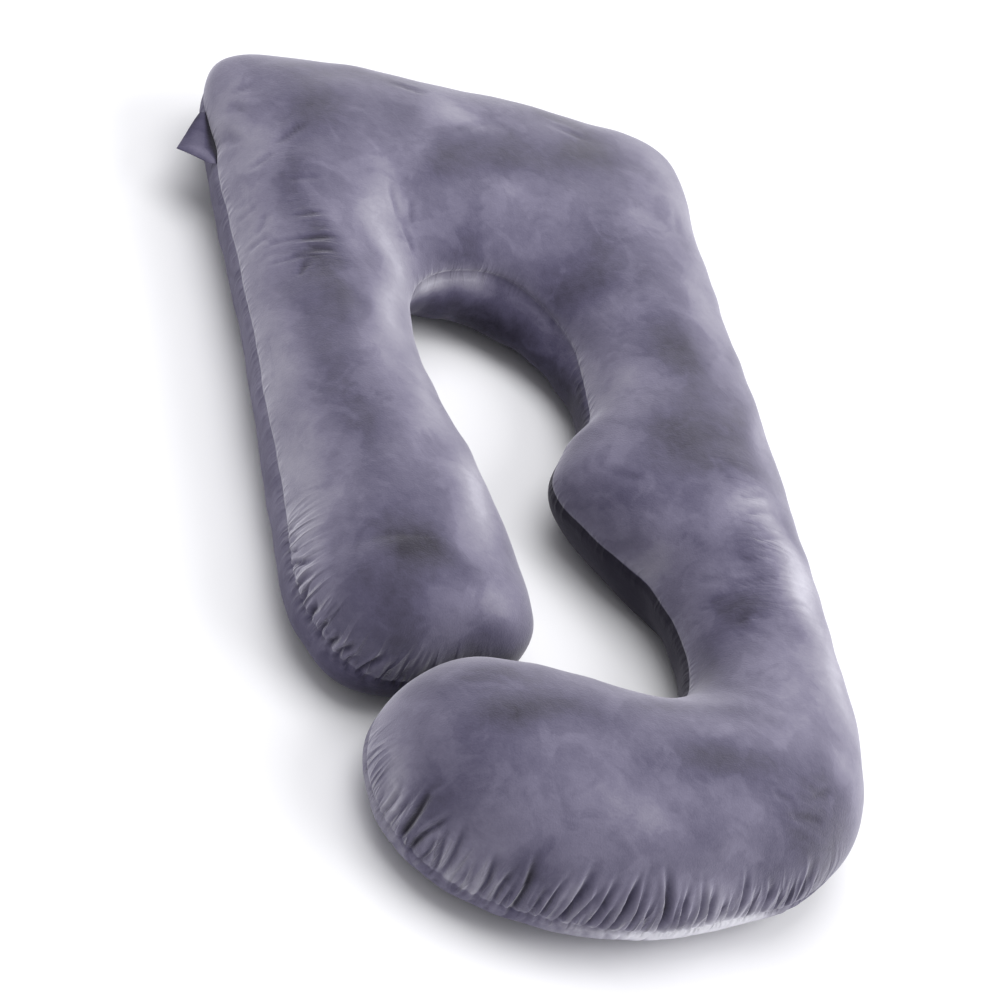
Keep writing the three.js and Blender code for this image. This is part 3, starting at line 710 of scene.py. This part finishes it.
def make_tab(seam, crest, foot, material):
    """The folded tab: cloth folded double along its outer edge, its two layers carried along the seam.

    Its reach rises in a straight line to the peak and falls again. The section is half a rounded
    rectangle, out along the lower layer and back along the upper one, then the same way back inside,
    a cloth's thickness in. The layers part towards the root.
    """
    keep = (seam[:, 0] < 0) & (seam[:, 1] > TAB_ENDS[0]) & (seam[:, 1] < TAB_ENDS[1])
    root = seam[keep]
    out = (root - crest[foot][keep]) * (1, 1, 0)
    out /= np.linalg.norm(out, axis=1)[:, None]
    y = np.linspace(root[0, 1], root[-1, 1], TAB_LENGTH_STEPS)
    root = np.stack([np.interp(y, root[:, 1], root[:, k]) for k in range(3)], 1)
    out = np.stack([np.interp(y, seam[keep][:, 1], out[:, k]) for k in range(3)], 1)
    span = np.where(y < TAB_PEAK, TAB_PEAK - TAB_ENDS[0], TAB_ENDS[1] - TAB_PEAK)
    share = 1 - np.abs(y - TAB_PEAK) / span
    reach = TAB_END_REACH + (TAB_REACH - TAB_END_REACH) * share
    ends = np.sqrt(np.clip(1 - np.linspace(-1, 1, TAB_LENGTH_STEPS) ** TAB_END_SQUARENESS, 0, 1))

    bend = np.linspace(-1, 1, TAB_ROUND_STEPS // 2) * math.pi / 2
    bend = np.concatenate([bend, bend[::-1]])
    depth = np.repeat((0.0, TAB_CLOTH), TAB_ROUND_STEPS // 2)
    outward_share = np.cos(bend) ** TAB_SQUARENESS
    thickness = TAB_ROOT_THICKNESS + (TAB_TIP_THICKNESS - TAB_ROOT_THICKNESS) * outward_share
    inner = root + out * (TAB_ROOT_GAP - SEAM_DRAW)
    fold = (root - (1, 0, 0) * reach[:, None] - inner) / (reach + SEAM_DRAW)[:, None]
    length = (reach + SEAM_DRAW)[:, None] - depth
    points = inner[:, None] + fold[:, None] * (length * outward_share)[..., None]
    half = np.maximum(thickness / 2 - depth, TAB_LEAST_GAP / 2)
    lift = np.sign(bend) * np.abs(np.sin(bend)) ** TAB_SQUARENESS * half * ends[:, None]
    sag = TAB_DROOP * outward_share**2 * (reach / TAB_REACH)[:, None]
    ripple = TAB_RIPPLE * np.sin(y / TAB_RIPPLE_LENGTH)[:, None] * outward_share
    points[..., 2] += lift - sag + ripple

    count = TAB_ROUND_STEPS
    index = np.arange(TAB_LENGTH_STEPS * count).reshape(TAB_LENGTH_STEPS, count)
    after = np.roll(index, -1, 1)
    sides = np.stack([index[:-1], index[1:], after[1:], after[:-1]], -1).reshape(-1, 4).tolist()
    caps = [index[0].tolist(), index[-1][::-1].tolist()]
    tab = new_piece("folded_tab", points.reshape(-1, 3), sides + caps, [material])
    # Painted light and shade on the tab: a shadow at its root, a highlight midway to its fold, shade
    # towards its upper end.
    root_shade = TAB_ROOT_PAINTED_SHADOW * bell(outward_share / TAB_ROOT_SHADE)
    tone = TAB_PAINTED_HIGHLIGHT * np.sin(outward_share * math.pi) ** 2 + root_shade
    tone = tone + np.linspace(*TAB_PAINTED_SHADE_ALONG, TAB_LENGTH_STEPS)[:, None]
    add_attribute(tab, "nap_and_painted_light", tone.ravel())
    return tab


def linear(colour):
    """A hex colour from sRGB to linear: the sRGB curve undone on each channel."""
    channels = [int(colour[k : k + 2], 16) / 255 for k in (1, 3, 5)]
    return (*(c / 12.92 if c <= 0.04045 else ((c + 0.055) / 1.055) ** 2.4 for c in channels), 1.0)


def add_node(tree, kind, output, inputs=(), **settings):
    """Adds a shader node with its settings, its inputs set to values or joined, and returns an output."""
    node = tree.nodes.new(kind)
    for name, value in settings.items():
        setattr(node, name, value)
    for name, value in dict(inputs).items():
        if isinstance(value, bpy.types.NodeSocket):
            tree.links.new(value, node.inputs[name])
        else:
            node.inputs[name].default_value = value
    return node.outputs[output]


def crushed_velvet(name, darker, bloom):
    """Polyester crushed velvet: a short cut pile pressed every way.

    To the eye it is soft and clouded, darker where the pile leans towards you and paler where it leans
    away, with a pale bloom along its edges. Its tone also carries painted shade and painted highlights. Its
    0.3 mm pile is drawn as 2 mm grain.
    """
    material = bpy.data.materials.new(name)
    material.use_nodes = True
    tree = material.node_tree
    shader = tree.nodes["Principled BSDF"]
    place = add_node(tree, "ShaderNodeTexCoord", "Object")
    seam_map = add_node(tree, "ShaderNodeUVMap", "UV", uv_map="seam_map")
    nap_and_painted_light, fold, gather, creased = (
        add_node(tree, "ShaderNodeAttribute", "Fac", attribute_name=key)
        for key in ("nap_and_painted_light", "fold", "gather", "creased")
    )

    # Each noise less a half, so that it sways both ways.
    sways = {}
    for key, row in NOISES.items():
        layer = dict(zip(NOISE_COLUMNS, row))
        surface = seam_map if key == "gathers" else place
        scale = [1 / size for size in layer["size"]]
        scaled = add_node(tree, "ShaderNodeMapping", "Vector", {"Vector": surface, "Scale": scale})
        noise = add_node(
            tree, "ShaderNodeTexNoise", "Fac",
            {
                "Vector": scaled, "Scale": 1.0, "Detail": layer["detail"], "Roughness": layer["roughness"],
                "Distortion": layer["distortion"],
            },
        )
        sways[key] = add_node(tree, "ShaderNodeMath", 0, {0: noise, 1: 0.5}, operation="SUBTRACT")

    # A line runs where its noise is near the middle: one less a multiple of its distance from there.
    lines = []
    for sway, here, slope in (
        (sways["gathers"], gather, GATHER_SLOPE), (sways["creases"], creased, CREASE_SLOPE),
    ):
        away = add_node(tree, "ShaderNodeMath", 0, {0: sway}, operation="ABSOLUTE")
        line = add_node(tree, "ShaderNodeMath", 0, {0: away, 1: slope, 2: 1.0}, operation="MULTIPLY_ADD")
        line = add_node(tree, "ShaderNodeMath", 0, {0: line, 1: 0.0}, operation="MAXIMUM")
        here = add_node(tree, "ShaderNodeMath", 0, {0: here, 1: 0.0}, operation="MAXIMUM")
        lines.append(add_node(tree, "ShaderNodeMath", 0, {0: line, 1: here}, operation="MULTIPLY"))
    ridge, crease = lines

    lying = add_node(
        tree, "ShaderNodeMath", 0, {0: nap_and_painted_light, 1: MARK_NAP, 2: sways["marks"]}, operation="MULTIPLY_ADD"
    )
    pressed = add_node(
        tree, "ShaderNodeMapRange", "Result",
        {"Value": lying, "From Min": -MARK_EDGE, "From Max": MARK_EDGE, "To Min": -1.0, "To Max": 1.0},
        interpolation_type="SMOOTHSTEP",
    )

    parts = {"nap_and_painted_light": nap_and_painted_light, "fold": fold, "pressed": pressed, "ridge": ridge, "crease": crease, **sways}
    # darker takes the whole tone down, painted shade for the lower panel's copy; the ridges' weight paints
    # highlights, and the creases' and folds' weights paint shade.
    tone = BASE_TONE - darker
    for key, weight in TONE_WEIGHTS.items():
        tone = add_node(
            tree, "ShaderNodeMath", 0, {0: parts[key], 1: weight, 2: tone}, operation="MULTIPLY_ADD"
        )
    colour = add_node(tree, "ShaderNodeValToRGB", "Color", {"Fac": tone})
    stops = colour.node.color_ramp.elements
    for step in range(1, len(VELVET_TONES) - 1):
        stops.new(step / (len(VELVET_TONES) - 1))
    for stop, shade in zip(stops, VELVET_TONES):
        stop.color = linear(shade)
    tree.links.new(colour, shader.inputs["Base Color"])

    folds = add_node(
        tree, "ShaderNodeMath", 0, {0: crease, 1: CREASE_RISE, 2: ridge}, operation="MULTIPLY_ADD"
    )
    folds = add_node(
        tree, "ShaderNodeBump", "Normal", {"Height": folds, "Strength": 1.0, "Distance": GATHER_RISE}
    )
    fibres = add_node(
        tree, "ShaderNodeMath", 0, {0: sways["strokes"], 1: STROKE_SHARE, 2: sways["pile"]},
        operation="MULTIPLY_ADD",
    )
    facing = add_node(
        tree, "ShaderNodeBump", "Normal",
        {"Height": fibres, "Strength": 0.4, "Distance": PILE_RISE, "Normal": folds},
    )
    tree.links.new(facing, shader.inputs["Normal"])
    shader.inputs["Roughness"].default_value = 0.92
    shader.inputs["Specular IOR Level"].default_value = 0.25
    shader.inputs["Sheen Weight"].default_value = bloom
    shader.inputs["Sheen Roughness"].default_value = 0.5
    shader.inputs["Sheen Tint"].default_value = linear("#dbd9e3")
    return material


def plain_floor():
    """A pale matt floor, far wider than the view."""
    material = bpy.data.materials.new("matt_paint")
    material.use_nodes = True
    shader = material.node_tree.nodes["Principled BSDF"]
    shader.inputs["Base Color"].default_value = linear(FLOOR_COLOUR)
    shader.inputs["Roughness"].default_value = 0.9
    corners = np.array([(-1, -1, 0), (1, -1, 0), (1, 1, 0), (-1, 1, 0)]) * FLOOR_HALF_WIDTH
    corners[:, 2] = -FLOOR_DROP
    floor = new_piece("studio_floor", corners, [(0, 1, 2, 3)], [material], False)


def studio_light(name, place, aim, size, power):
    """A square soft light at a place, turned to what it lights. Places are in metres."""
    data = bpy.data.lights.new(name, "AREA")
    data.shape = "SQUARE"
    data.size = size
    data.energy = power
    light = bpy.data.objects.new(name, data)
    light.location = place
    light.rotation_euler = (Vector(place) - Vector(aim)).to_track_quat("Z", "Y").to_euler()
    bpy.context.scene.collection.objects.link(light)


def set_the_view():
    """The camera at the photograph's angle to the pillow, turned about its own line of sight."""
    azimuth, elevation = math.radians(PHOTO_AZIMUTH), math.radians(PHOTO_ELEVATION)
    roll = math.radians(PHOTO_ROLL)
    back = Vector((
        math.sin(azimuth) * math.cos(elevation),
        -math.cos(azimuth) * math.cos(elevation),
        math.sin(elevation),
    ))
    level = Vector((math.cos(azimuth), math.sin(azimuth), 0))
    rise = back.cross(level)
    right = level * math.cos(roll) + rise * math.sin(roll)
    up = rise * math.cos(roll) - level * math.sin(roll)
    target = Vector((PHOTO_TARGET - FOOTPRINT_MIDDLE) * METRES)
    data = bpy.data.cameras.new("photo_camera")
    data.lens = PHOTO_LENS
    camera = bpy.data.objects.new("photo_camera", data)
    camera.matrix_world = Matrix.Translation(target + back * PHOTO_DISTANCE) @ Matrix(
        (right, up, back)
    ).transposed().to_4x4()
    bpy.context.scene.collection.objects.link(camera)
    bpy.context.scene.camera = camera


def light_the_studio():
    """A pale world, a broad soft light from the long arm's side and a weaker one overhead."""
    world = bpy.data.worlds.new("studio")
    world.use_nodes = True
    world.node_tree.nodes["Background"].inputs["Color"].default_value = (1, 1, 1, 1)
    world.node_tree.nodes["Background"].inputs["Strength"].default_value = 0.55
    bpy.context.scene.world = world
    bpy.context.scene.view_settings.view_transform = "Standard"
    studio_light("side_light", (2.8, -1.0, 2.8), (0, 0, 0.1), 3.0, 105)
    studio_light("overhead_light", (-0.5, 0.7, 3.4), (0, 0, 0), 3.0, 90)


set_the_view()
light_the_studio()
plain_floor()

velvet = crushed_velvet("crushed_velvet", 0.0, 0.85)
# The lower panel and the tab get a darker copy of the velvet, painted shade, with less sheen.
shaded_velvet = crushed_velvet("shaded_velvet", 0.05, 0.2)

pillow, seam, crest, foot = make_pillow(velvet, shaded_velvet)
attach(pillow, "root")
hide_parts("pillow")

tab = make_tab(seam, crest, foot, shaded_velvet)
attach(tab, "root")
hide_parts("corner_tab")

bpy.context.view_layer.update()
